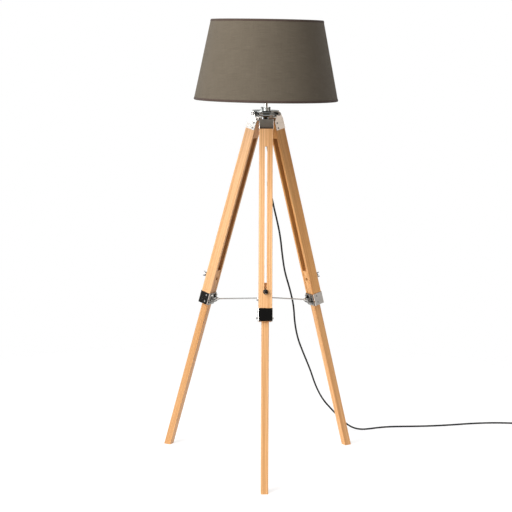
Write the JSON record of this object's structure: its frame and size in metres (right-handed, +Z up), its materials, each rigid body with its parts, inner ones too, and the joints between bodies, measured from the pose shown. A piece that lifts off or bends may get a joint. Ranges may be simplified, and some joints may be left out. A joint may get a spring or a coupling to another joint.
{
  "type": "tripod floor lamp",
  "caption": "Floor lamp on a folding wooden tripod with telescopic legs, spreader rods, a chromed head and a tapered fabric drum shade.",
  "frame": {"origin": "middle of the box round the lamp without its cord, on the floor", "axes": "+Z up; the front leg points to -Y; +X is the right-hand leg's side; the lamp is symmetric about X = 0"},
  "size_m": [1.3706, 0.8258, 1.45],
  "materials": {
    "wood": "clear satin varnish",
    "chrome_plate": "polished, bent plate",
    "chrome": "polished",
    "cast_metal": "die cast, dull nickel",
    "steel_fixings": "nickel plated",
    "black_rubber": "matt",
    "black_plastic": "fine texture",
    "holder_plastic": "satin",
    "ceramic": "glazed porcelain",
    "contact_metal": "nickel-brass",
    "opal_glass": "opal white",
    "white_wire": "white powder coat",
    "shade_fabric": "taupe grey plain weave",
    "trim_fabric": "folded tape of the same cloth",
    "shade_lining": "white laminate"
  },
  "bodies": {
    "head": {"head_plate": "chrome", "hinge_bolts": "steel_fixings", "hinge_nuts": "steel_fixings", "hinge_spacers": "steel_fixings", "head_collar": "chrome", "head_screws": "steel_fixings", "stem_tube": "chrome", "cable_gland": "black_rubber", "lampholder_cap": "holder_plastic", "lampholder_shell": "holder_plastic", "lampholder_core": "ceramic", "lampholder_contacts": "contact_metal", "bulb_cap": "contact_metal", "bulb_glass": "opal_glass", "shade_carrier": "white_wire", "shade_ring_nuts": "holder_plastic", "shade_top_ring": "white_wire", "shade_bottom_ring": "white_wire", "shade_cover": "shade_fabric", "shade_lining": "shade_lining", "shade_top_trim": "trim_fabric", "shade_bottom_trim": "trim_fabric", "power_cord": "black_rubber", "plug_body": "black_plastic", "plug_pins": "contact_metal"},
    "leg_front": {"upper_leg_front": "wood", "top_bracket_front": "chrome_plate", "foot_collar_front": "chrome_plate", "rod_bracket_front": "cast_metal", "leg_fixings_front": "steel_fixings"},
    "foot_front": {"lower_leg_front": "wood", "clamp_bolt_front": "steel_fixings", "clamp_washer_front": "steel_fixings"},
    "nut_front": {"wing_nut_front": "steel_fixings"},
    "rod_front": {"spreader_rod_front": "steel_fixings"},
    "leg_right": {"upper_leg_right": "wood", "top_bracket_right": "chrome_plate", "foot_collar_right": "chrome_plate", "rod_bracket_right": "cast_metal", "leg_fixings_right": "steel_fixings"},
    "foot_right": {"lower_leg_right": "wood", "clamp_bolt_right": "steel_fixings", "clamp_washer_right": "steel_fixings"},
    "nut_right": {"wing_nut_right": "steel_fixings"},
    "rod_right": {"spreader_rod_right": "steel_fixings"},
    "leg_left": {"upper_leg_left": "wood", "top_bracket_left": "chrome_plate", "foot_collar_left": "chrome_plate", "rod_bracket_left": "cast_metal", "leg_fixings_left": "steel_fixings"},
    "foot_left": {"lower_leg_left": "wood", "clamp_bolt_left": "steel_fixings", "clamp_washer_left": "steel_fixings"},
    "nut_left": {"wing_nut_left": "steel_fixings"},
    "rod_left": {"spreader_rod_left": "steel_fixings"},
    "spreader": {"spreader_ring": "steel_fixings"},
    "switch": {"switch_bar": "holder_plastic"}
  },
  "joints": [
    {"name": "leg_front_fold", "type": "hinge", "parent": "head", "child": "leg_front", "pos_m": [0, 0.03235, 1.152], "axis": [1, 0, 0], "range_deg": [0, 12]},
    {"name": "foot_front_slide", "type": "slide", "parent": "leg_front", "child": "foot_front", "axis": [0, 0.2756, 0.9613], "range_m": [0, 0.46]},
    {"name": "wing_nut_front_turn", "type": "hinge", "parent": "foot_front", "child": "nut_front", "pos_m": [0, -0.14262, 0.60712], "axis": [0, -0.9613, 0.2756], "continuous": true},
    {"name": "rod_front_swing", "type": "hinge", "parent": "leg_front", "child": "rod_front", "pos_m": [0, -0.11262, 0.52673], "axis": [1, 0, 0], "range_deg": [0, 65]},
    {"name": "leg_right_fold", "type": "hinge", "parent": "head", "child": "leg_right", "pos_m": [0.03118, 0.08635, 1.152], "axis": [-0.5, 0.866, 0], "range_deg": [0, 12]},
    {"name": "foot_right_slide", "type": "slide", "parent": "leg_right", "child": "foot_right", "axis": [-0.2387, -0.1378, 0.9613], "range_m": [0, 0.46]},
    {"name": "wing_nut_right_turn", "type": "hinge", "parent": "foot_right", "child": "nut_right", "pos_m": [0.1827, 0.17383, 0.60712], "axis": [0.8325, 0.4806, 0.2756], "continuous": true},
    {"name": "rod_right_swing", "type": "hinge", "parent": "leg_right", "child": "rod_right", "pos_m": [0.15672, 0.15883, 0.52673], "axis": [-0.5, 0.866, 0], "range_deg": [0, 65]},
    {"name": "leg_left_fold", "type": "hinge", "parent": "head", "child": "leg_left", "pos_m": [-0.03118, 0.08635, 1.152], "axis": [-0.5, -0.866, 0], "range_deg": [0, 12]},
    {"name": "foot_left_slide", "type": "slide", "parent": "leg_left", "child": "foot_left", "axis": [0.2387, -0.1378, 0.9613], "range_m": [0, 0.46]},
    {"name": "wing_nut_left_turn", "type": "hinge", "parent": "foot_left", "child": "nut_left", "pos_m": [-0.1827, 0.17383, 0.60712], "axis": [-0.8325, 0.4806, 0.2756], "continuous": true},
    {"name": "rod_left_swing", "type": "hinge", "parent": "leg_left", "child": "rod_left", "pos_m": [-0.15672, 0.15883, 0.52673], "axis": [-0.5, -0.866, 0], "range_deg": [0, 65]},
    {"name": "spreader_rise", "type": "slide", "parent": "head", "child": "spreader", "axis": [0, 0, 1], "range_m": [0, 0.108]},
    {"name": "switch_push", "type": "slide", "parent": "head", "child": "switch", "axis": [-1, 0, 0], "range_m": [0, 0.005]}
  ],
  "couplings": [
    {"joint": "leg_right_fold", "follows": "leg_front_fold", "ratio": 1},
    {"joint": "leg_left_fold", "follows": "leg_front_fold", "ratio": 1},
    {"joint": "rod_front_swing", "follows": "leg_front_fold", "ratio": 5.4167},
    {"joint": "rod_right_swing", "follows": "leg_front_fold", "ratio": 5.4167},
    {"joint": "rod_left_swing", "follows": "leg_front_fold", "ratio": 5.4167},
    {"joint": "spreader_rise", "follows": "leg_front_fold", "m_per_rad": 0.51566}
  ]
}
